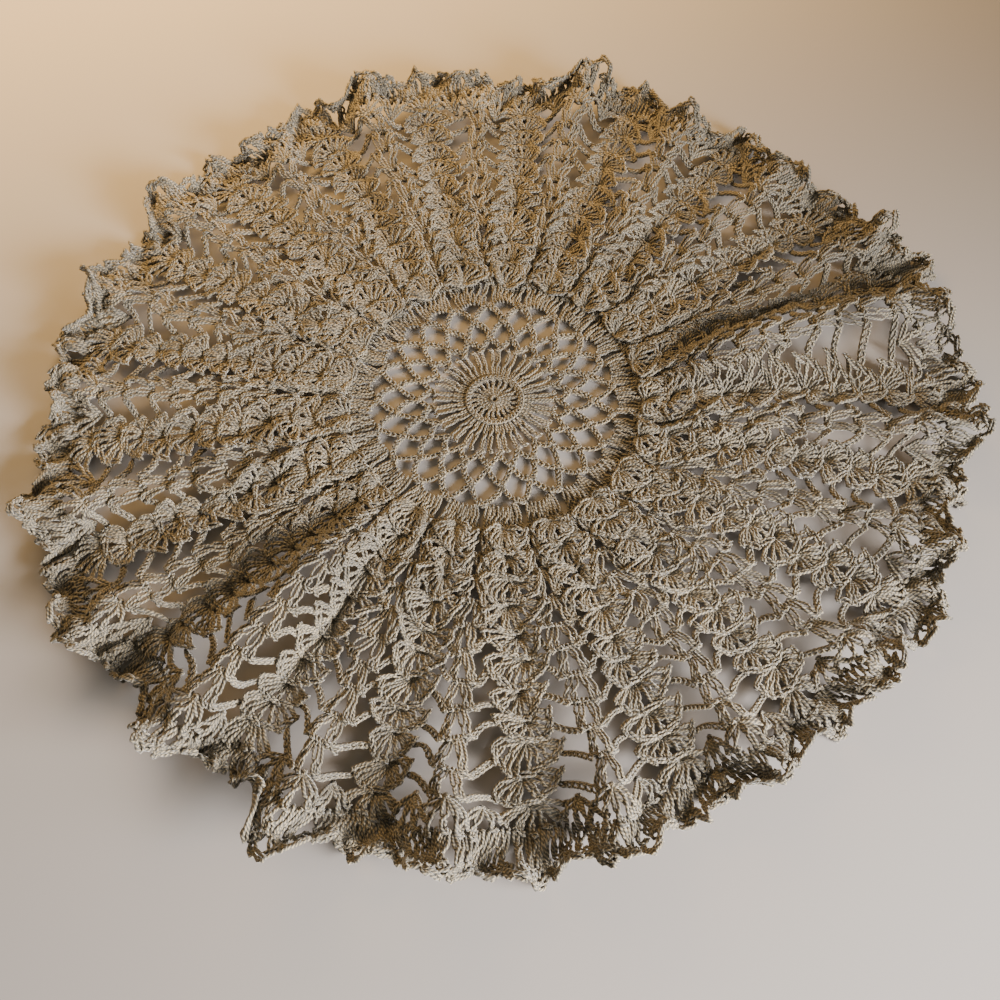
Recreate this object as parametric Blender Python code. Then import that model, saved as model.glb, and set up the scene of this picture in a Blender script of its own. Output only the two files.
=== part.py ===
"""Lace doily: one crocheted cotton sheet, worked in the round and lying in soft ruffles.

The sheet is drawn flat, in cloth coordinates (an angle, and a distance from the centre along
the cloth), with its larger gaps left out. Each point is then laid in the ruffles, and the
layer is thickened to the depth of the stitches. Units are metres, +Z is up, and the origin
is the middle of the underside, where the flat centre rests.
"""

from collections import namedtuple

import bmesh
import bpy
import numpy as np

# Driving dimensions
MM = 0.001
RIM = 0.165  # flat radius, to the tips of the edging
THICK = 0.002  # depth of the stitches
REPEATS = 21  # repeats of the pattern round the doily
FIRST_CREST = np.radians(7.83)  # angle of the first column of V-stitches
REPEAT = 2 * np.pi / REPEATS
HALF = REPEAT / 2  # from a column of V-stitches to the next column of shells

# Centre and net, as distances along the cloth
RING_EDGE = 0.045 * RIM  # worked ring at the middle
SPOKE_EDGE = 0.130 * RIM  # tips of the long spokes
KNOT_1 = 0.158 * RIM  # first round of net knots, over the V columns
KNOT_2 = 0.205 * RIM  # second round, over the shell columns
KNOT_3 = 0.250 * RIM  # third round, over the V columns
NET_EDGE = 0.268 * RIM  # first solid round, where the skirt starts
STRAND = 0.0014  # half width of a net strand
SLANT = 0.0019  # half width of a slanted strand, measured round the doily
KNOT = 0.0021  # half depth of a net knot
TENT_TOP = 0.45  # upper edge of the net's last gaps, against the width of a repeat

# Skirt of ten rounds of shells and V-stitches, joined by chains
FIRST_ROUND = 0.3125 * RIM
ROUND = 0.0545 * RIM  # height of one round
FIRST_OPEN, LAST_OPEN = 5, 9  # rounds whose gaps are over 4 mm
SHELL_HALF = 0.0062  # half width of a shell
V_HALF = 0.0026  # half width of a V-stitch
CHAIN_HALF = 0.0012  # half width of a chain
RIB = 0.0006  # how far the two halves of a shell stand up

# Edging
EDGING = (0.905 * RIM, 0.955 * RIM, RIM)

# One row for each repeat, anticlockwise from +X. The crest runs along the V-stitches and the
# valley after it along the shells. Heights are in millimetres, part way out and at the rim;
# turn is how far the fold swings round, in degrees; reach is its rim's radius in plan,
# against the flat one; curl is how far the edging turns up half way to the next fold line,
# in degrees, after the crest and after the valley.
Fold = namedtuple(
    "Fold",
    "crest_mid crest_rim crest_turn crest_reach crest_curl valley_rim valley_turn valley_reach valley_curl",
)
FOLDS = (
    Fold(11, 14, +5.0, 1.000, 30, 0, +3.4, 1.060, 45),
    Fold(3, 8, +0.4, 1.015, 40, 0, 0.0, 1.010, 55),
    Fold(4, 9, -0.5, 0.955, 50, 0, 0.0, 1.005, 40),
    Fold(6, 9, -0.5, 0.930, 45, 0, 0.0, 1.005, 50),
    Fold(3, 12, 0.0, 0.985, 100, 3, 0.0, 0.940, 35),
    Fold(3, 8, 0.0, 0.935, 45, 6, 0.0, 0.970, 50),
    Fold(6, 12, 0.0, 0.960, 100, 0, 0.0, 0.985, 40),
    Fold(3, 8, 0.0, 0.935, 30, 0, 0.0, 0.970, 45),
    Fold(4, 9, +0.5, 0.975, 35, 0, 0.0, 0.940, 50),
    Fold(4, 9, +0.5, 0.965, 110, 0, 0.0, 0.970, 40),
    Fold(3, 8, 0.0, 0.945, 45, 0, 0.0, 0.960, 40),
    Fold(3, 10, +1.8, 0.985, 35, 0, 0.0, 0.980, 30),
    Fold(3, 9, +1.2, 0.995, 20, 0, -0.5, 0.940, 70),
    Fold(12, 14, +1.2, 1.000, 45, 3, -0.6, 0.955, 105),
    Fold(3, 12, 0.0, 1.025, 50, 0, -0.3, 0.985, 30),
    Fold(3, 13, -0.5, 1.000, 35, 0, +0.9, 0.995, 30),
    Fold(3, 13, +1.4, 1.000, 45, 0, +2.2, 0.965, 55),
    Fold(2, 9, +2.2, 0.975, 50, 0, +3.0, 0.975, 40),
    Fold(3, 10, +2.3, 0.980, 50, 0, +4.3, 1.000, 40),
    Fold(4, 10, +3.3, 0.985, 60, 0, +4.9, 0.990, 35),
    Fold(4, 10, +3.0, 1.020, 45, 0, +2.0, 1.050, 30),
)
RUFFLE_START = 0.27 * RIM  # inside this the doily lies flat
MID_FULL = 0.60 * RIM  # where a fold has its part-way height
FLARE_START = 0.62 * RIM  # where it starts towards its height at the rim
CURL_START = 0.90 * RIM  # where the edging starts to turn up
PEAK = 3  # how much narrower a crest is at the rim than part way out
TUCK = 0.28  # millimetres by which the valleys dip below the flat centre at the rim

COTTON = (0.56, 0.47, 0.36, 1.0)


def ease(value, start, full):
    """Smooth step from 0 at start to 1 at full."""
    t = np.clip((value - start) / (full - start), 0, 1)
    return t * t * (3 - 2 * t)


def lay(angle, along):
    """Where a point of the flat sheet comes to lie, as x, y and z of the sheet's middle layer."""
    crests = np.array([(f.crest_mid, f.crest_rim, f.crest_turn, f.crest_reach) for f in FOLDS])
    valleys = np.array([(0, f.valley_rim - TUCK, f.valley_turn, f.valley_reach) for f in FOLDS])
    curls = np.array([(f.crest_curl, f.valley_curl) for f in FOLDS]).ravel()
    place = (angle - FIRST_CREST) / HALF
    lobe = np.floor(place).astype(int) % len(curls)
    crest, valley = crests[(lobe + 1) // 2 % REPEATS], valleys[lobe // 2]
    share = 0.5 + 0.5 * np.cos(np.pi * place)
    mid, _, turn, reach = (valley + (crest - valley) * share[:, None]).T
    rim = valley[:, 1] + (crest - valley)[:, 1] * share**PEAK
    rise = ease(along, RUFFLE_START, MID_FULL)
    height = mid * rise + (rim - mid) * ease(along, FLARE_START, RIM)
    # From CURL_START the edging bends up evenly, so its section is an arc of a circle.
    past = np.clip(along - CURL_START, 0, None)
    bend = np.radians(curls[lobe]) * np.sin(np.pi * place) ** 2 * past / (RIM - CURL_START)
    pulled_in = past * (1 - np.sinc(bend / np.pi))
    lifted = past * np.sin(bend / 2) * np.sinc(bend / (2 * np.pi))
    outward = np.clip((along - RUFFLE_START) / (RIM - RUFFLE_START), 0, None)
    radius = along - (1 - reach) * RIM * outward**2 - pulled_in
    around = angle + np.radians(turn) * rise
    z = THICK / 2 + (height + TUCK) * MM + lifted
    return np.stack([radius * np.cos(around), radius * np.sin(around), z], axis=1)


class Sheet:
    """The flat sheet: points by angle and distance along the cloth, and faces between them."""

    def __init__(self):
        self.points = []
        self.faces = []

    def add(self, angle, along, lift=0.0):
        self.points.append((angle, along, lift))
        return len(self.points) - 1

    def ring(self, along, count):
        return [self.add(FIRST_CREST + REPEAT * REPEATS * i / count, along) for i in range(count)]

    def band(self, inner, outer, keep=lambda i: True):
        """Four-sided faces between two rings of as many points; keep leaves a gap where false."""
        count = len(inner)
        for i in filter(keep, range(count)):
            j = (i + 1) % count
            self.faces.append((inner[i], outer[i], outer[j], inner[j]))

    def gap(self, corners, rim):
        """Faces from a ring of corners to the rim of the gap inside it, one for each corner."""
        count = len(corners)
        for i in range(count):
            j = (i + 1) % count
            self.faces.append((corners[i], corners[j], rim[j], rim[i]))


def net_gap(sheet, angle, along, half_angle, low, high):
    """Rim of a diamond gap, as wide and as long as the strands round it leave."""
    side = half_angle - SLANT / along
    return [
        sheet.add(angle, low + KNOT),
        sheet.add(angle + side, along),
        sheet.add(angle, high - KNOT),
        sheet.add(angle - side, along),
    ]


def centre_and_net(sheet, skirt_start):
    """Flat worked disc, then three rounds of net gaps set like bricks."""
    disc = sheet.ring(RING_EDGE, 2 * REPEATS)
    spokes = sheet.ring(SPOKE_EDGE, 2 * REPEATS)
    sheet.faces.append(tuple(disc[::-1]))
    sheet.band(disc, spokes)
    knots = {}
    for radius, shift in ((KNOT_1, 0.0), (KNOT_2, 0.5), (KNOT_3, 0.0)):
        knots[radius] = [sheet.add(FIRST_CREST + REPEAT * (i + shift), radius) for i in range(REPEATS)]
    first, second, third = knots[KNOT_1], knots[KNOT_2], knots[KNOT_3]
    for i in range(REPEATS):
        after = (i + 1) % REPEATS
        crest = FIRST_CREST + REPEAT * i
        valley = crest + HALF
        sheet.faces.append((spokes[2 * i - 1], first[i], spokes[2 * i + 1], spokes[2 * i]))
        corners = [spokes[2 * i + 1], first[after], second[i], first[i]]
        sheet.gap(corners, net_gap(sheet, valley, KNOT_1, HALF, SPOKE_EDGE, KNOT_2))
        corners = [first[i], second[i], third[i], second[i - 1]]
        sheet.gap(corners, net_gap(sheet, crest, KNOT_2, HALF, KNOT_1, KNOT_3))
        top_gap(sheet, i, valley, second[i], (third[i], third[after]), skirt_start)


def top_gap(sheet, i, valley, knot, sides, skirt_start):
    """Last round of the net: a gap under the first solid round, like a low tent upside down."""
    top = [skirt_start[(6 * i + step) % len(skirt_start)] for step in range(7)]
    side = HALF - KNOT / KNOT_3
    shoulder = HALF * TENT_TOP
    eaves = NET_EDGE - STRAND
    foot = sheet.add(valley, KNOT_2 + KNOT)
    right = sheet.add(valley + side, KNOT_3)
    left = sheet.add(valley - side, KNOT_3)
    top_right = sheet.add(valley + shoulder, eaves)
    top_left = sheet.add(valley - shoulder, eaves)
    sheet.faces += [
        (knot, foot, left, sides[0]),
        (knot, sides[1], right, foot),
        (sides[0], left, top[1], top[0]),
        (left, top_left, top[2], top[1]),
        (top_left, top_right, top[4], top[3], top[2]),
        (top_right, right, top[5], top[4]),
        (right, sides[1], top[6], top[5]),
    ]


def skirt_ring(sheet, along):
    """Ring with three points to a half repeat: a fold line, a V-stitch's edge and a shell's edge."""
    v_edge = min(V_HALF / along, HALF / 3)
    shell_edge = max(HALF - SHELL_HALF / along, HALF * 2 / 3)
    ring = []
    for i in range(REPEATS):
        crest = FIRST_CREST + REPEAT * i
        for offset, lift in ((0, 0), (v_edge, 0), (shell_edge, RIB), (HALF, 0)):
            ring.append(sheet.add(crest + offset, along, lift))
        for offset, lift in ((REPEAT - shell_edge, RIB), (REPEAT - v_edge, 0)):
            ring.append(sheet.add(crest + offset, along, lift))
    return ring


def edging_ring(sheet, along):
    """Ring with three even steps to a half repeat, so its curl and its crests both show."""
    return sheet.ring(along, 6 * REPEATS)


def skirt(sheet, start):
    """Solid rounds, then open rounds with a gap between each V-stitch and shell, then the edging."""
    open_start = FIRST_ROUND + FIRST_OPEN * ROUND
    closed_middle = (FIRST_ROUND + open_start) / 2
    ring = start
    for along in (FIRST_ROUND, closed_middle, open_start - CHAIN_HALF):
        inner, ring = ring, skirt_ring(sheet, along)
        sheet.band(inner, ring)
    for number in range(FIRST_OPEN, LAST_OPEN + 1):
        base = FIRST_ROUND + number * ROUND
        chain = skirt_ring(sheet, base + CHAIN_HALF)
        sheet.band(ring, chain)
        ring = skirt_ring(sheet, base + ROUND - CHAIN_HALF)
        sheet.band(chain, ring, keep=lambda i: i % 3 != 1)
    for along in EDGING:
        inner, ring = ring, edging_ring(sheet, along)
        sheet.band(inner, ring)


def doily():
    sheet = Sheet()
    start = skirt_ring(sheet, NET_EDGE)
    centre_and_net(sheet, start)
    skirt(sheet, start)
    angle, along, lift = np.array(sheet.points).T
    laid = lay(angle, along)
    laid[:, 2] += lift * (along > FIRST_ROUND)
    mesh = bpy.data.meshes.new("doily")
    mesh.from_pydata(laid.tolist(), [], sheet.faces)
    layer = bmesh.new()
    layer.from_mesh(mesh)
    bmesh.ops.recalc_face_normals(layer, faces=layer.faces)
    layer.to_mesh(mesh)
    layer.free()
    mesh.shade_smooth()
    body = bpy.data.objects.new("doily", mesh)
    bpy.context.scene.collection.objects.link(body)
    body.modifiers.new("Facets", "TRIANGULATE")
    depth = body.modifiers.new("Stitch depth", "SOLIDIFY")
    depth.thickness = THICK
    depth.offset = 0
    body.data.materials.append(cotton())


def cotton():
    material = bpy.data.materials.new("cotton_yarn")
    material.use_nodes = True
    shader = material.node_tree.nodes["Principled BSDF"]
    shader.inputs["Base Color"].default_value = COTTON
    shader.inputs["Roughness"].default_value = 0.75
    shader.inputs["Metallic"].default_value = 0.0
    return material


for leftover in list(bpy.data.objects):
    bpy.data.objects.remove(leftover)
doily()
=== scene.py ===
"""The lace doily's yarn: every stitch is a closed loop of cotton, laid in the solid's own folds.

A stitch is worked out in cloth terms first: an angle round the doily, a distance from the middle
along the cloth, and a height above it in metres. settle() then lays each point in the folds.
Sizes are in metres, or in mm where a line multiplies by MM or says so.
"""

import bpy
import numpy as np
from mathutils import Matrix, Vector


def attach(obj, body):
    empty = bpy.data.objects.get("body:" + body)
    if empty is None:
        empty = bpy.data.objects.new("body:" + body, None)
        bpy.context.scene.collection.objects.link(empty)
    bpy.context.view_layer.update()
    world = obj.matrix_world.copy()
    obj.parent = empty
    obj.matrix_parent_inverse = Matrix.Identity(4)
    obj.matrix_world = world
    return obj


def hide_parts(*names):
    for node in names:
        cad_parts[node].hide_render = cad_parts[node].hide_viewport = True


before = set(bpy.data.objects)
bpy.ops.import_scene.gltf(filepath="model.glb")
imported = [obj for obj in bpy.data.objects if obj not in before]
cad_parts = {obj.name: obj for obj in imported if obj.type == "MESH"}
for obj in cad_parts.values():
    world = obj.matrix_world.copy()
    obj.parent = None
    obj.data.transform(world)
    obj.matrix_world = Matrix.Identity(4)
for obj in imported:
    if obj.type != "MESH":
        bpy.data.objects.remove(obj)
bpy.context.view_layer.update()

# ---------------------------------------------------------------------------------------
# Centre: a closed ring of double crochets, a braid of their heads, then long spokes.
# All the cotton is one yarn, about 1 mm thick, of two twisted plies, natural ecru, unbleached.
# The doily lies in folds: a crest along each column of V-stitches, a valley along the shells.
# ---------------------------------------------------------------------------------------
MM = 0.001
RIM = 0.165  # flat radius, to the picot tips
REPEATS = 21
REPEAT = 2 * np.pi / REPEATS
HALF = REPEAT / 2
FIRST_CREST = np.radians(7.83)
CREST_ANGLES = FIRST_CREST + REPEAT * np.arange(REPEATS)
VALLEY_ANGLES = CREST_ANGLES + HALF
REST = 1.0 * MM  # height of the cloth's middle layer where it lies flat

# Crest then valley of each repeat, anticlockwise from +X, the same as in the solid: height part
# way out and at the rim (mm), swing (degrees), rim radius against the flat one, and how far the
# edging curls up before the next fold line (degrees).
FOLDS = np.array(
    [
        # crest: mid, rim, turn, reach, curl   valley: mid, rim, turn, reach, curl
        [(11, 14, 5, 1.000, 30), (0, 0, 3.4, 1.060, 45)],
        [(3, 8, 0.4, 1.015, 40), (0, 0, 0, 1.010, 55)],
        [(4, 9, -0.5, 0.955, 50), (0, 0, 0, 1.005, 40)],
        [(6, 9, -0.5, 0.930, 45), (0, 0, 0, 1.005, 50)],
        [(3, 12, 0, 0.985, 100), (0, 3, 0, 0.940, 35)],
        [(3, 8, 0, 0.935, 45), (0, 6, 0, 0.970, 50)],
        [(6, 12, 0, 0.960, 100), (0, 0, 0, 0.985, 40)],
        [(3, 8, 0, 0.935, 30), (0, 0, 0, 0.970, 45)],
        [(4, 9, 0.5, 0.975, 35), (0, 0, 0, 0.940, 50)],
        [(4, 9, 0.5, 0.965, 110), (0, 0, 0, 0.970, 40)],
        [(3, 8, 0, 0.945, 45), (0, 0, 0, 0.960, 40)],
        [(3, 10, 1.8, 0.985, 35), (0, 0, 0, 0.980, 30)],
        [(3, 9, 1.2, 0.995, 20), (0, 0, -0.5, 0.940, 70)],
        [(12, 14, 1.2, 1.000, 45), (0, 3, -0.6, 0.955, 105)],
        [(3, 12, 0, 1.025, 50), (0, 0, -0.3, 0.985, 30)],
        [(3, 13, -0.5, 1.000, 35), (0, 0, 0.9, 0.995, 30)],
        [(3, 13, 1.4, 1.000, 45), (0, 0, 2.2, 0.965, 55)],
        [(2, 9, 2.2, 0.975, 50), (0, 0, 3, 0.975, 40)],
        [(3, 10, 2.3, 0.980, 50), (0, 0, 4.3, 1.000, 40)],
        [(4, 10, 3.3, 0.985, 60), (0, 0, 4.9, 0.990, 35)],
        [(4, 10, 3, 1.020, 45), (0, 0, 2, 1.050, 30)],
    ]
)
RUFFLE_START = 0.27 * RIM  # inside this the doily lies flat
MID_FULL = 0.60 * RIM  # where a fold has its part-way height
FLARE_START = 0.62 * RIM  # where it starts towards its height at the rim
CURL_START = 0.90 * RIM  # where the edging starts to turn up
PEAK = 3  # how much narrower a crest is at the rim than part way out
TUCK = 0.28  # mm by which the valleys dip below the flat centre at the rim


def ease(value, start, full):
    """Smooth step from 0 at start to 1 at full."""
    t = np.clip((value - start) / (full - start), 0, 1)
    return t * t * (3 - 2 * t)


def lay(angle, along):
    """Middle layer of the cloth: the point at an angle and a distance along the cloth.
    Height, swing and reach run between crest and valley as a cosine, to the power PEAK at the
    rim, and grow outwards. The edging bends up in an arc, most half way between them."""
    place = (angle - FIRST_CREST) / HALF
    lobe = np.floor(place).astype(int) % (2 * REPEATS)
    crest, valley = FOLDS[(lobe + 1) // 2 % REPEATS, 0], FOLDS[lobe // 2, 1]
    share = 0.5 + 0.5 * np.cos(np.pi * place)
    mid, _, turn, reach, _ = np.moveaxis(valley + (crest - valley) * share[..., None], -1, 0)
    rim = valley[..., 1] - TUCK + (crest[..., 1] - valley[..., 1] + TUCK) * share**PEAK
    rise = ease(along, RUFFLE_START, MID_FULL)
    height = mid * rise + (rim - mid) * ease(along, FLARE_START, RIM)
    past = np.clip(along - CURL_START, 0, None)
    most = np.radians(FOLDS.reshape(2 * REPEATS, 5)[lobe, 4]) * np.sin(np.pi * place) ** 2
    bend = most * past / (RIM - CURL_START)
    pulled_in = past * (1 - np.sinc(bend / np.pi))
    lifted = past * np.sin(bend / 2) * np.sinc(bend / (2 * np.pi))
    outward = np.clip((along - RUFFLE_START) / (RIM - RUFFLE_START), 0, None)
    radius = along - (1 - reach) * RIM * outward**2 - pulled_in
    around = angle + np.radians(turn) * rise
    z = REST + (height + TUCK) * MM + lifted
    return np.stack([radius * np.cos(around), radius * np.sin(around), z], axis=-1)


chance = np.random.default_rng(21)
WAVES = 14
PULL_START, PULL_FULL = 0.10 * RIM, 0.45 * RIM  # the centre is pulled about least
wave_pull = chance.normal(0, 0.30, (WAVES, 3)) * MM  # how far each wave pulls the cloth
wave_round = chance.integers(5, 32, WAVES)  # waves to a turn
wave_out = chance.uniform(-260, 260, WAVES)  # radians to a metre outwards
wave_start = chance.uniform(0, 2 * np.pi, WAVES)


def settle(angle, along):
    """Where the cloth really lies: its folds, pulled about a little by handling. Sum of
    fourteen plane waves across the sheet, each with its own small pull, upwards only."""
    phase = angle[..., None] * wave_round + along[..., None] * wave_out + wave_start
    pull = np.sin(phase) @ wave_pull
    pull[..., 2] = np.abs(pull[..., 2])
    return lay(angle, along) + pull * ease(along, PULL_START, PULL_FULL)[..., None]


def unit(v):
    """Vectors divided by their length."""
    return v / np.maximum(np.linalg.norm(v, axis=-1, keepdims=True), 1e-12)


def upright(angle, along):
    """Unit normal of the cloth: the cross product of its slopes outwards and round."""
    step = 0.3 * MM
    turn = step / along
    out = lay(angle, along + step) - lay(angle, along - step)
    round_it = lay(angle + turn, along) - lay(angle - turn, along)
    return unit(np.cross(out, round_it))


YARN = 0.48 * MM  # radius of the yarn
WOUND = 0.52 * MM  # radius of a double crochet's legs, where yarn is wound round yarn
TIGHT = 0.60 * MM  # the same in the edging, whose stitches are packed close and bulge
SIDES = 4  # of a tube


def on_cloth(stitches, radius):
    """Stitch points (angle, along, up) to world points; no yarn can sink into the table."""
    angle, along, up = np.moveaxis(stitches, -1, 0)
    points = settle(angle, along) + upright(angle, along) * up[..., None]
    points[..., 2] = np.maximum(points[..., 2], radius)
    return points


def tubes(loops, radius):
    """Closed tubes round closed loops of points, as (points, quads, uv at each quad corner).
    A ring of SIDES points is carried round each loop without twisting, and what turn is left
    where the loop closes is shared out along it. u runs along the yarn in mm, v round it."""
    count, steps, _ = loops.shape
    tangent = unit(np.roll(loops, -1, axis=1) - np.roll(loops, 1, axis=1))
    across = np.empty((count, steps + 1, 3))
    first = np.cross(tangent[:, 0], [0.31, 0.17, 0.93])
    across[:, 0] = unit(first)
    for i in range(1, steps + 1):
        t = tangent[:, i % steps]
        carried = across[:, i - 1]
        across[:, i] = unit(carried - t * (carried * t).sum(-1, keepdims=True))
    t = tangent[:, 0]
    turned = np.cross(across[:, steps], across[:, 0])
    slip = np.arctan2((turned * t).sum(-1), (across[:, steps] * across[:, 0]).sum(-1))
    around = 2 * np.pi * np.arange(SIDES) / SIDES
    theta = around[None, None, :] + (slip[:, None] * np.arange(steps) / steps)[..., None]
    n = across[:, :steps, None, :]
    b = np.cross(tangent, across[:, :steps])[:, :, None, :]
    round_yarn = np.cos(theta)[..., None] * n + np.sin(theta)[..., None] * b
    ring = loops[:, :, None, :] + radius * round_yarn
    index = np.arange(count * steps * SIDES).reshape(count, steps, SIDES)
    ahead = np.roll(index, -1, axis=1)
    quads = np.stack([index, np.roll(index, -1, axis=2), np.roll(ahead, -1, axis=2), ahead], axis=-1)
    length = np.linalg.norm(np.roll(loops, -1, axis=1) - loops, axis=-1).cumsum(axis=1) / MM
    u1 = length[:, :, None] + np.zeros(SIDES)
    u0 = np.concatenate([np.zeros_like(u1[:, :1]), u1[:, :-1]], axis=1)
    v0 = np.broadcast_to(np.arange(SIDES) / SIDES, u1.shape)
    v1 = v0 + 1 / SIDES
    corners = [(u0, v0), (u0, v1), (u1, v1), (u1, v0)]
    uv = np.stack([np.stack(corner, axis=-1) for corner in corners], axis=3)
    return ring.reshape(-1, 3), quads.reshape(-1, 4), uv.reshape(-1, 2)


def crochet(name, *groups, radius=YARN):
    """One piece from groups of stitches, each group an array of closed loops on the cloth."""
    points, quads, uvs, shades = [], [], [], []
    total = 0
    for group in groups:
        p, q, uv = tubes(on_cloth(group, radius), radius)
        shade = np.repeat(chance.random(len(group)), len(q) // len(group))
        points.append(p)
        quads.append(q + total)
        uvs.append(uv)
        shades.append(shade)
        total += len(p)
    points, quads, uvs = np.concatenate(points), np.concatenate(quads), np.concatenate(uvs)
    shades = np.concatenate(shades)
    mesh = bpy.data.meshes.new(name)
    mesh.vertices.add(len(points))
    mesh.vertices.foreach_set("co", points.astype(np.float32).ravel())
    mesh.loops.add(quads.size)
    mesh.loops.foreach_set("vertex_index", quads.astype(np.int32).ravel())
    mesh.polygons.add(len(quads))
    mesh.polygons.foreach_set("loop_start", np.arange(0, quads.size, 4, dtype=np.int32))
    mesh.update(calc_edges=True)
    layer = mesh.uv_layers.new(name="yarn")
    layer.data.foreach_set("uv", uvs.astype(np.float32).ravel())
    tint = mesh.attributes.new("stitch", "FLOAT", "FACE")
    tint.data.foreach_set("value", shades.astype(np.float32))
    mesh.shade_smooth()
    piece = bpy.data.objects.new(name, mesh)
    bpy.context.scene.collection.objects.link(piece)
    piece.data.materials.append(cotton)
    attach(piece, "root")
    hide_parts("doily")
    print(name, len(quads) * 2, "triangles")
    return piece


TWIST = 2.6  # mm of yarn to one full turn of its plies
# The ramp paints light and shade onto the yarn's ecru: painted shade in the grooves between the plies, a
# painted highlight on each ply's crown, and a half-lit flank between them.
PLY_GROOVE_PAINTED_SHADE = (0.030, 0.0275, 0.0225, 1)  # between the plies
PLY_FLANK_PAINTED_HALF_LIGHT = (0.064, 0.0558, 0.0420, 1)
PLY_CROWN_PAINTED_HIGHLIGHT = (0.335, 0.268, 0.168, 1)  # on top of a ply


def cotton_yarn():
    """Matt cotton. Tone is 0.50 of the plies, the squared sine of a spiral along the yarn, which
    paints shade into the grooves between the plies and a highlight on their crowns; 0.20 of fine
    fluff, 0.16 of the stitch's own tint and 0.24 of a slow change over the cloth."""
    material = bpy.data.materials.new("ecru_cotton")
    material.use_nodes = True
    nodes, links = material.node_tree.nodes, material.node_tree.links
    shader = nodes["Principled BSDF"]
    shader.inputs["Roughness"].default_value = 0.60
    shader.inputs["Specular IOR Level"].default_value = 0.45
    shader.inputs["Sheen Weight"].default_value = 0.35
    shader.inputs["Sheen Roughness"].default_value = 0.45

    def node(kind, **settings):
        made = nodes.new(kind)
        for key, value in settings.items():
            setattr(made, key, value)
        return made

    def maths(operation, a, b=None):
        made = node("ShaderNodeMath", operation=operation)
        for socket, value in zip(made.inputs, (a, b)):
            if isinstance(value, (int, float)):
                socket.default_value = value
            elif value is not None:
                links.new(value, socket)
        return made.outputs[0]

    yarn = node("ShaderNodeUVMap", uv_map="yarn")
    parts = node("ShaderNodeSeparateXYZ")
    links.new(yarn.outputs["UV"], parts.inputs[0])
    # the sine is squared, so a ply passes a given side of the yarn twice a turn
    turn = maths("ADD", maths("MULTIPLY", parts.outputs["X"], 1 / TWIST), parts.outputs["Y"])
    ply = maths("SINE", maths("MULTIPLY", turn, 2 * np.pi))
    # 0 in a groove between the plies, 1 on a ply's crown: through the ramp it paints shade and highlight,
    # and it also raises the bump.
    ply_painted_light_and_relief = maths("MULTIPLY", ply, ply)
    place = node("ShaderNodeTexCoord")
    fluff = node("ShaderNodeTexNoise")
    fluff.inputs["Scale"].default_value = 2600
    fluff.inputs["Detail"].default_value = 3
    links.new(place.outputs["Object"], fluff.inputs["Vector"])
    wash = node("ShaderNodeTexNoise")
    wash.inputs["Scale"].default_value = 35
    links.new(place.outputs["Object"], wash.inputs["Vector"])
    stitch = node("ShaderNodeAttribute", attribute_name="stitch")

    # The ramp turns tone into ecru, with painted shade at the ply grooves and a painted highlight on the
    # ply crowns.
    ecru = node("ShaderNodeValToRGB")
    ecru.color_ramp.elements[0].position = 0.0
    ecru.color_ramp.elements[0].color = PLY_GROOVE_PAINTED_SHADE
    ecru.color_ramp.elements[1].position = 0.92
    ecru.color_ramp.elements[1].color = PLY_CROWN_PAINTED_HIGHLIGHT
    middle = ecru.color_ramp.elements.new(0.55)
    middle.color = PLY_FLANK_PAINTED_HALF_LIGHT
    tone = maths("ADD", maths("MULTIPLY", ply_painted_light_and_relief, 0.50), maths("MULTIPLY", fluff.outputs["Fac"], 0.2))
    tone = maths("ADD", tone, maths("MULTIPLY", stitch.outputs["Fac"], 0.16))
    tone = maths("ADD", tone, maths("MULTIPLY", wash.outputs["Fac"], 0.24))
    links.new(tone, ecru.inputs["Fac"])
    links.new(ecru.outputs["Color"], shader.inputs["Base Color"])
    bump = node("ShaderNodeBump")
    bump.inputs["Strength"].default_value = 0.6
    bump.inputs["Distance"].default_value = 0.12 * MM
    height = maths("ADD", ply_painted_light_and_relief, maths("MULTIPLY", fluff.outputs["Fac"], 0.6))
    links.new(height, bump.inputs["Height"])
    links.new(bump.outputs["Normal"], shader.inputs["Normal"])
    return material


cotton = cotton_yarn()


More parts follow.
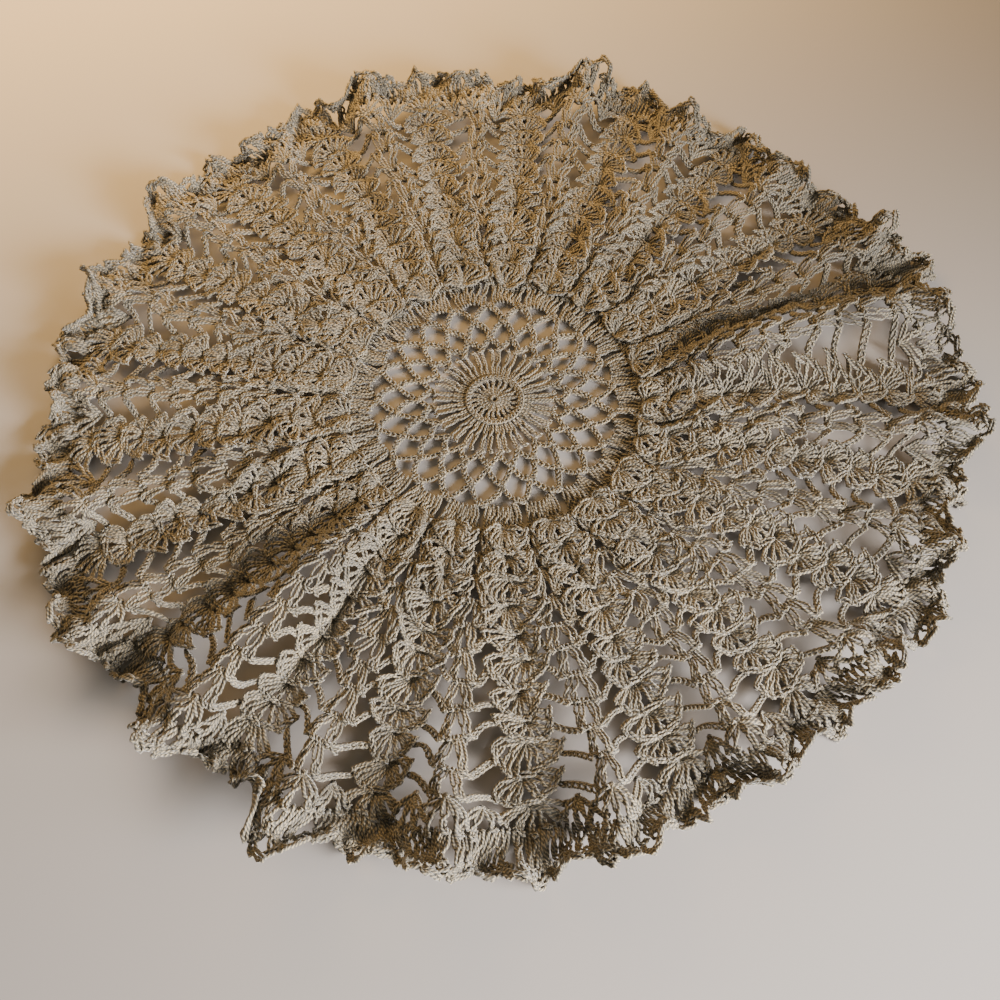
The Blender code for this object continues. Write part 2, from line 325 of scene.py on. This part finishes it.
def posts(angle, along, feet, heads, height, gap=0.62, cross=0.62, bulge=0.0, bow=0.0, lift=0.0, steps=18):
    """Double crochets: each one loop of yarn, a leaf from its foot to its head. Two legs rise
    up to `gap` mm either side of the middle, change places `cross` of the way, and end in the
    head; the foot passes under the round below. feet and heads are mm to the side of angle.
    bulge raises the middle of the leaf and bow bends it sideways, in mm, as sines; lift is how
    much higher its head lies than its foot."""
    fields = np.broadcast_arrays(angle, along, feet, heads, height, bow)
    angle, along, feet, heads, height, bow = (f.reshape(-1, 1).astype(float) for f in fields)
    count = len(angle)
    heads = heads + jitter((count, 1), 0.15)
    length, lean = np.hypot(heads - feet, height), np.arctan2(heads - feet, height)
    up = np.linspace(0, 1, (steps - 6) // 2)[None, :]
    gap = gap * (1 + jitter((count, 1), 0.12))
    swap = cross + jitter((count, 1), 0.06)
    turned = jitter((count, 1), 0.28) + np.pi * ease(up, swap - 0.15, swap + 0.15)
    apart = gap * (0.40 + 0.60 * np.sin(np.pi * up**0.8))
    side, over = apart * np.cos(turned), 0.5 * np.sin(turned)
    rise = 0.97 * length * up - 0.3
    middle, arch = bow * np.sin(np.pi * up), bulge * np.sin(np.pi * up) + lift * up
    climb = np.stack([middle + side, rise, arch + over], axis=-1)
    descend = np.stack([middle - side, rise, arch - over], axis=-1)[:, ::-1]
    # Head: along one side of a V and back along the other. Foot: down, under and up again.
    tip = np.stack([0 * length, length, lift + 0 * length], axis=-1)
    head = tip + [(0.6, 0.5, 0.5), (1.4, 0.3, 0.15), (0.85, -0.45, 0.6)]
    foot = 0 * tip + [(-0.15, -1.0, -0.7), (0.0, -1.4, 0.0), (0.15, -1.0, 0.7)]
    across, out, above = np.moveaxis(np.concatenate([climb, head, descend, foot], axis=1), -1, 0)
    distance = along + (out * np.cos(lean) - across * np.sin(lean)) * MM
    sideways = feet + out * np.sin(lean) + across * np.cos(lean)
    return np.stack([angle + sideways * MM / distance, distance, above * MM], axis=-1)


def jitter(size, amount):
    """How one stitch differs from the next by hand: a normal spread round zero."""
    return chance.normal(0, amount, size)


def links_along(angle, along, up, size=1.0, steps=8):
    """Chain stitches along curves: at each place a drop-shaped loop whose tail is under the
    one before. The curves are (count, stitches + 1) arrays of link ends, in cloth terms."""
    mid = 0.5 * (along[:, 1:] + along[:, :-1])
    run = np.stack([(angle[:, 1:] - angle[:, :-1]) * mid, along[:, 1:] - along[:, :-1]], axis=-1)
    pitch = np.linalg.norm(run, axis=-1)[..., None]
    ahead = run / np.maximum(pitch, 1e-9)
    aside = np.stack([-ahead[..., 1], ahead[..., 0]], axis=-1)
    t = 2 * np.pi * (np.arange(steps) + 0.5) / steps
    along_link = (0.5 - 0.5 * np.cos(t)) * (pitch + 1.5 * MM * size) - 0.75 * MM * size
    width = 0.52 * MM * size * np.sin(t) * (1.1 - 0.5 * np.cos(t)) - 0.45 * MM * size * np.cos(t)
    lift = 0.40 * MM * size * -np.cos(t) + up
    flat = ahead[..., None, :] * along_link[..., None] + aside[..., None, :] * width[..., None]
    distance = along[:, :-1, None] + flat[..., 1]
    around = angle[:, :-1, None] + flat[..., 0] / distance
    stitches = np.stack([around, distance, lift + 0 * around], axis=-1)
    return stitches.reshape(-1, steps, 3)


def ring_of(count, start=0.0):
    """Angles spaced evenly round the doily, without the last, which would meet the first."""
    return start + 2 * np.pi * np.arange(count) / count


ring_height, spoke_foot, spoke_height = 6.4, 0.062 * RIM, 11.0
ring_angles = ring_of(21, FIRST_CREST)
spoke_angles = ring_of(42, FIRST_CREST)
spoke_lean = np.where(np.arange(42) % 2, 0.35, -0.35)
braid = ring_of(40, FIRST_CREST)
centre = crochet(
    "centre_motif",
    posts(ring_angles, 2.2 * MM, 0.0, 0.0, ring_height, gap=0.4),
    links_along(
        np.append(braid, braid[0] + 2 * np.pi)[None], np.full((1, 41), 0.056 * RIM), 0.35 * MM
    ),
    posts(spoke_angles, spoke_foot, 0.0, spoke_lean, spoke_height, gap=0.5, cross=0.45, steps=24),
)

# ---------------------------------------------------------------------------------------
# Net: three rounds of chain loops set like bricks, each caught in the one before by a
# short stitch, then the first solid round, eight double crochets to a repeat.
# ---------------------------------------------------------------------------------------
KNOTS = (0.130 * RIM, 0.158 * RIM, 0.205 * RIM, 0.250 * RIM)
LINKS = (7, 10, 12)


def chain_loops(feet, foot_along, apex_along, links):
    """Chain loops from foot to foot, out to their apex: straight legs with a round end."""
    t = np.linspace(0, 1, links + 1)
    angle = feet[:, None] + REPEAT * t
    reach = 1 - np.abs(2 * t - 1) ** 1.7
    along = foot_along + (apex_along - foot_along) * reach + 0 * angle
    return links_along(angle, along, 0.0)


net_groups = []
for number, links in enumerate(LINKS):
    feet = VALLEY_ANGLES if number % 2 == 0 else CREST_ANGLES
    net_groups.append(chain_loops(feet, KNOTS[number] + 0.3 * MM, KNOTS[number + 1], links))
    catch = feet + HALF
    net_groups.append(
        posts(catch, KNOTS[number + 1] - 0.2 * MM, -0.3, 0.3, 1.5, gap=0.6, steps=14)
    )
FIRST_ROUND = 0.3125 * RIM
FIRST_POSTS = 8  # to a repeat, worked round the last chain loop, from knot to knot
place = (np.arange(FIRST_POSTS) + 0.5) / FIRST_POSTS
first_angles = CREST_ANGLES[:, None] + REPEAT * place
first_feet = KNOTS[-1] + 3.2 * MM * (1 - np.abs(2 * place - 1) ** 2.4) + 0 * first_angles
first_inward = 1.6 * (1 - 2 * place) * np.abs(1 - 2 * place)
first_height = (FIRST_ROUND - first_feet) / MM
net = crochet(
    "net",
    *net_groups,
    posts(first_angles, first_feet, first_inward, 0.0, first_height, gap=0.58),
)

# ---------------------------------------------------------------------------------------
# Skirt: ten rounds. Over each valley a shell, five double crochets, two chains and five
# more, all in the gap of the shell below; over each crest a V-stitch, with chains between.
# ---------------------------------------------------------------------------------------
ROUND = 0.0545 * RIM
SHELL_LEAN = np.radians([-82, -64, -47, -30, -12, 12, 30, 47, 64, 82])  # from straight out
# The sizes below are in mm.
SHELL_LENGTH = 9.4  # of a stitch, from the middle of the hole that the shell springs from
HOLE = 0.9  # radius of the hole
V_HEADS = np.array([-3.9, -2.2, 2.2, 3.9])  # to the side of the crest
V_FEET = np.array([-1.7, -0.7, 0.7, 1.7])
GAP_LINKS = (3, 3, 3, 4, 4, 4, 5, 5, 6, 6)  # chains between shell and V-stitch, round by round
SHELL_SIDE, V_SIDE = 8.7, 3.6  # from their middle to where the chains meet them
SHELL_CORNER = 4.4  # how far out the tip of a shell's last stitch lies
ROPE_IN = 0.7  # from the tips of a shell in to its rope edge


def skirt_round(number):
    """One round: its shells and V-stitches, then the chains in their tips and between them.
    Where a round has too little room, as near the net, its stitches are worked narrower."""
    along = FIRST_ROUND + number * ROUND
    top = along + ROUND
    links = GAP_LINKS[number]
    room = min(1.0, HALF * top / MM / (SHELL_SIDE + V_SIDE))
    height = ROUND / MM
    length = SHELL_LENGTH + jitter((REPEATS, 10), 0.25)
    lean = SHELL_LEAN + jitter((REPEATS, 10), 0.05)
    shell = posts(
        VALLEY_ANGLES[:, None], along + HOLE * np.cos(lean) * MM, HOLE * np.sin(lean) * room,
        length * np.sin(lean) * room, (length - HOLE) * np.cos(lean), bulge=1.1,
        bow=0.9 * np.sin(lean), lift=1.7, steps=16,
    )
    vee = posts(
        CREST_ANGLES[:, None], along, V_FEET * room, V_HEADS * room,
        height + jitter((REPEATS, 4), 0.3), bulge=0.5, lift=1.0,
    )
    # over the tips of a shell runs its rope edge, a loop from each stitch to the next
    reach = (length - ROPE_IN) * MM
    line_along = along + reach * np.cos(lean)
    line_angle = VALLEY_ANGLES[:, None] + reach * np.sin(lean) * room / line_along
    line = links_along(line_angle, line_along, 1.8 * MM, size=1.1, steps=6)
    chains = []
    for angles, width in ((VALLEY_ANGLES, 2.1), (CREST_ANGLES, 2.6)):
        t = np.linspace(-1, 1, 3)
        angle = angles[:, None] + t * width * room * MM / top
        chains.append(links_along(angle, top + 0.2 * MM + 0 * angle, 0.0))
    t = np.linspace(0, 1, links + 1)
    shell_edge, v_edge = SHELL_SIDE * room * MM / top, V_SIDE * room * MM / top
    for start, end, toward_shell in (
        (CREST_ANGLES + v_edge, VALLEY_ANGLES - shell_edge, t),
        (VALLEY_ANGLES + shell_edge, CREST_ANGLES + REPEAT - v_edge, 1 - t),
    ):
        sag = (0.1 + 0.25 * links) * MM * (1 + jitter((REPEATS, 1), 0.6))
        angle = start[:, None] + (end - start)[:, None] * t
        drop = (height - SHELL_CORNER) * toward_shell**1.4 * MM
        chain = top - drop - sag * np.sin(np.pi * t)
        chains.append(links_along(angle, chain, (1.1 + jitter((REPEATS, 1, 1), 0.3)) * MM))
    return [shell, line], [vee, *chains]


worked = [skirt_round(number) for number in range(10)]
shells = [shell for shell, _ in worked]
lattice = [[vee, *chains] for _, (vee, *chains) in worked]
shells_inner = crochet("shells_inner", *sum(shells[:5], []), radius=WOUND)
shells_outer = crochet("shells_outer", *sum(shells[5:], []), radius=WOUND)
lattice_inner = crochet("lattice_inner", *sum(lattice[:5], []))
lattice_outer = crochet("lattice_outer", *sum(lattice[5:], []))

# ---------------------------------------------------------------------------------------
# Edging: a round of fans, twenty-two double crochets to a repeat, a closer round of
# twenty-eight, and a line of picots, each five chains closed into a ring with a small eye.
# ---------------------------------------------------------------------------------------
EDGE_1 = FIRST_ROUND + 10 * ROUND  # where the fans spring from
EDGE_2 = 0.912 * RIM  # where the second round starts
EDGE_3 = 0.957 * RIM  # where the picots start
PICOTS = 8 * REPEATS
CLOSE_POSTS = 28 * REPEATS


def frilled(stitches):
    """The edging has more stitches than it has room for, so it waves: up and down as two sines
    round the doily that beat together, and in and out as two scallops to a repeat, their tips
    on the folds, with a smaller wave in each. All grow from the skirt to the rim."""
    angle, along, up = np.moveaxis(stitches, -1, 0)
    wave = np.sin(53 * angle + 60 * along / RIM) + np.sin(76 * angle - 40 * along / RIM)
    past_crest = angle - FIRST_CREST
    scallop = 1.5 * np.cos(2 * REPEATS * past_crest) + 0.6 * np.cos(103 * past_crest)
    along = along + scallop * MM * ease(along, EDGE_1, RIM)
    return np.stack([angle, along, up + 2.0 * MM * wave * ease(along, EDGE_1, RIM)], axis=-1)


def fan(angles, along, leans, length):
    """Double crochets that all spring from one place, each leaning its own way."""
    lean = leans + jitter((len(angles), len(leans)), 0.06)
    reach = length * (1 + jitter(lean.shape, 0.05))
    return posts(
        angles[:, None], along + 0.5 * MM * np.cos(lean), 0.6 * np.sin(lean),
        reach * np.sin(lean), reach * np.cos(lean), bulge=1.2, bow=0.6 * np.sin(lean),
        lift=1.0,
    )


gap_middle = (CREST_ANGLES[:, None] + HALF * np.array([0.42, 1.58])).ravel()
picot_angles = ring_of(PICOTS, FIRST_CREST)
second_round = ring_of(CLOSE_POSTS, FIRST_CREST)
edging = crochet(
    "edging_rounds",
    frilled(fan(VALLEY_ANGLES, EDGE_1, np.radians([-72, -54, -36, -18, 0, 18, 36, 54, 72]), 9.2)),
    frilled(fan(CREST_ANGLES, EDGE_1, np.radians([-50, -25, 0, 25, 50]), 9.0)),
    frilled(fan(gap_middle, EDGE_1, np.radians([-40, -14, 14, 40]), 8.8)),
    frilled(
        posts(
            second_round, EDGE_2, 0.0, jitter(CLOSE_POSTS, 0.7), (EDGE_3 - EDGE_2) / MM,
            bulge=0.6,
        )
    ),
    radius=TIGHT,
)
t = np.linspace(-0.82, 0.82, 6) * np.pi
size = 1 + jitter((PICOTS, 1), 0.15)
picot_angle = picot_angles[:, None] + 2.0 * MM * size * np.sin(t) / EDGE_3
picot_along = EDGE_3 + 0.6 * MM + 1.6 * MM * size * (1 + np.cos(t))
# each ring stands up from the edge and leans out, higher at its tip
ring_rise = 1.0 * MM * (1 + np.cos(t[:-1, None] + 0.5 * (t[1] - t[0])))
rings = links_along(picot_angle, picot_along, ring_rise, size=1.2)
between = picot_angles + np.pi / PICOTS
picots = crochet(
    "picots",
    frilled(rings),
    frilled(posts(between, EDGE_3, -0.5, 0.5, 2.2, lift=0.6, steps=14)),
    radius=TIGHT,
)

# ---------------------------------------------------------------------------------------
# Table, light and camera: a plain pale matt table top, a soft window low at the front right, a
# small warm lamp at the back, and the rest of the room as a dim warm glow. The camera looks
# down from the front.
# ---------------------------------------------------------------------------------------
def table_top():
    """A flat square, six metres across, at the height of the doily's underside."""
    mesh = bpy.data.meshes.new("table_top")
    reach = 3.0
    corners = [(-reach, -reach, 0), (reach, -reach, 0), (reach, reach, 0), (-reach, reach, 0)]
    mesh.from_pydata(corners, [], [(0, 1, 2, 3)])
    top = bpy.data.objects.new("table_top", mesh)
    bpy.context.scene.collection.objects.link(top)
    material = bpy.data.materials.new("pale_table")
    material.use_nodes = True
    shader = material.node_tree.nodes["Principled BSDF"]
    shader.inputs["Base Color"].default_value = (0.272, 0.249, 0.238, 1)
    shader.inputs["Roughness"].default_value = 0.7
    top.data.materials.append(material)


table_top()


def soft_light(name, place, aim, width, height, watts, colour, spread):
    """A flat rectangle of light at place, turned to aim; spread is its full cone in degrees."""
    light = bpy.data.lights.new(name, "AREA")
    light.shape = "RECTANGLE"
    light.size = width
    light.size_y = height
    light.energy = watts
    light.color = colour
    light.spread = np.radians(spread)
    lamp = bpy.data.objects.new(name, light)
    lamp.location = place
    beam = Vector(aim) - Vector(place)
    lamp.rotation_euler = beam.to_track_quat("-Z", "Y").to_euler()
    bpy.context.scene.collection.objects.link(lamp)


soft_light(
    "window", place=(0.42, -0.46, 0.22), aim=(-0.04, -0.20, 0), width=0.60, height=0.18,
    watts=5.2, colour=(1.0, 0.965, 0.92), spread=66,
)
soft_light(
    "lamp", place=(-0.16, 0.40, 0.26), aim=(-0.12, 0.32, 0), width=0.6, height=0.2,
    watts=4.8, colour=(1.0, 0.60, 0.20), spread=110,
)
world = bpy.data.worlds.new("room")
world.use_nodes = True
world.node_tree.nodes["Background"].inputs["Color"].default_value = (1.0, 0.91, 0.69, 1)
world.node_tree.nodes["Background"].inputs["Strength"].default_value = 0.31
bpy.context.scene.world = world

view = bpy.data.cameras.new("view")
view.sensor_width = 36
view.lens = 39.6
eye = bpy.data.objects.new("view", view)
elevation = np.radians(61.72)  # of the camera above the table
distance = 2.2329 * RIM  # from the camera to the point that it looks at
eye.location = (
    0.01124 * RIM,
    -0.2366 * RIM - distance * np.cos(elevation),
    distance * np.sin(elevation),
)
eye.rotation_euler = (np.pi / 2 - elevation, 0, 0)
bpy.context.scene.collection.objects.link(eye)
bpy.context.scene.camera = eye
